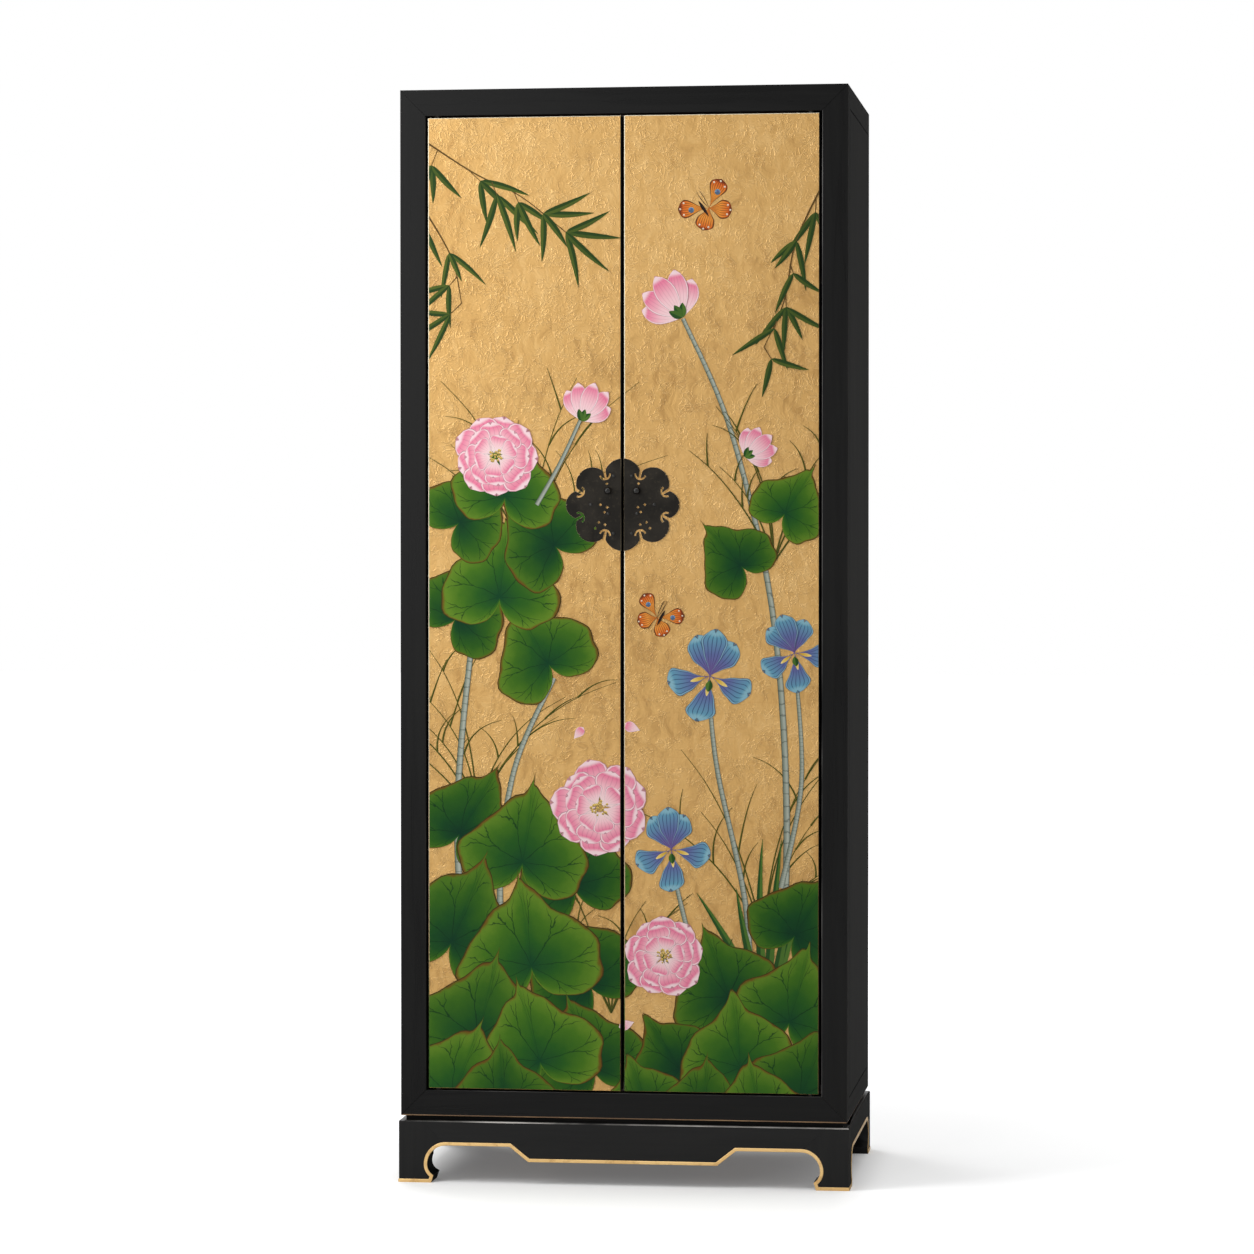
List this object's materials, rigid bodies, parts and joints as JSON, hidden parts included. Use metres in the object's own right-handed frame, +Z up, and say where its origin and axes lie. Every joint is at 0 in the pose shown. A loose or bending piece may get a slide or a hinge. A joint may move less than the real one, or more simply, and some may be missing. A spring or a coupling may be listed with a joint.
{
  "type": "chinese wardrobe",
  "caption": "Tall black-lacquered wardrobe on a low hoof-footed stand, with a pair of gilded and painted pivoting doors, a split cloud-shaped lock plate, a hat shelf and a hanging rail.",
  "frame": {"origin": "on the floor under the middle of the cabinet's plan", "axes": "+Z up, +X to the right of someone who faces the doors, doors at -Y"},
  "size_m": [0.7884, 0.506, 1.9],
  "materials": {
    "black_lacquer": "satin black lacquer",
    "gilded_panel": "gold leaf with satin varnish",
    "inner_lacquer": "dark brown lacquer",
    "plain_wood": "plain",
    "black_metal": "matte black",
    "steel": "brushed",
    "brass": "aged",
    "catch_plastic": "matte"
  },
  "bodies": {
    "carcass": {"back_apron": "black_lacquer", "back_left_leg": "black_lacquer", "back_left_panel": "black_lacquer", "back_left_post": "black_lacquer", "back_muntin": "black_lacquer", "back_right_leg": "black_lacquer", "back_right_panel": "black_lacquer", "back_right_post": "black_lacquer", "bottom_back_rail": "black_lacquer", "bottom_front_rail": "black_lacquer", "bottom_left_rail": "black_lacquer", "bottom_right_rail": "black_lacquer", "door_stop": "inner_lacquer", "floor_board": "inner_lacquer", "front_apron": "black_lacquer", "front_left_leg": "black_lacquer", "front_left_post": "black_lacquer", "front_right_leg": "black_lacquer", "front_right_post": "black_lacquer", "hanging_rail": "brass", "hat_shelf": "inner_lacquer", "left_apron": "black_lacquer", "left_side_panel": "black_lacquer", "loose_tenons": "plain_wood", "magnetic_catches": "catch_plastic", "pivot_bushes": "brass", "rail_sockets": "brass", "right_apron": "black_lacquer", "right_side_panel": "black_lacquer", "shelf_cleats": "inner_lacquer", "stand_bearers": "plain_wood", "stand_glue_blocks": "plain_wood", "top_back_rail": "black_lacquer", "top_front_rail": "black_lacquer", "top_left_rail": "black_lacquer", "top_panel": "black_lacquer", "top_right_rail": "black_lacquer", "waist_strips": "black_lacquer"},
    "left_door": {"left_door_battens": "inner_lacquer", "left_door_panel": "gilded_panel", "left_knob": "black_metal", "left_knob_nut": "black_metal", "left_lock_plate": "black_metal", "left_pivot_pins": "steel", "left_plate_studs": "black_metal", "left_strike_plate": "steel"},
    "right_door": {"right_door_battens": "inner_lacquer", "right_door_panel": "gilded_panel", "right_knob": "black_metal", "right_knob_nut": "black_metal", "right_lock_plate": "black_metal", "right_pivot_pins": "steel", "right_plate_studs": "black_metal", "right_strike_plate": "steel"}
  },
  "joints": [
    {"name": "left_door_hinge", "type": "hinge", "parent": "carcass", "child": "left_door", "pos_m": [-0.325, -0.232, 0.165], "axis": [0, 0, -1], "range_deg": [0, 115]},
    {"name": "right_door_hinge", "type": "hinge", "parent": "carcass", "child": "right_door", "pos_m": [0.325, -0.232, 0.165], "axis": [0, 0, 1], "range_deg": [0, 115]}
  ]
}
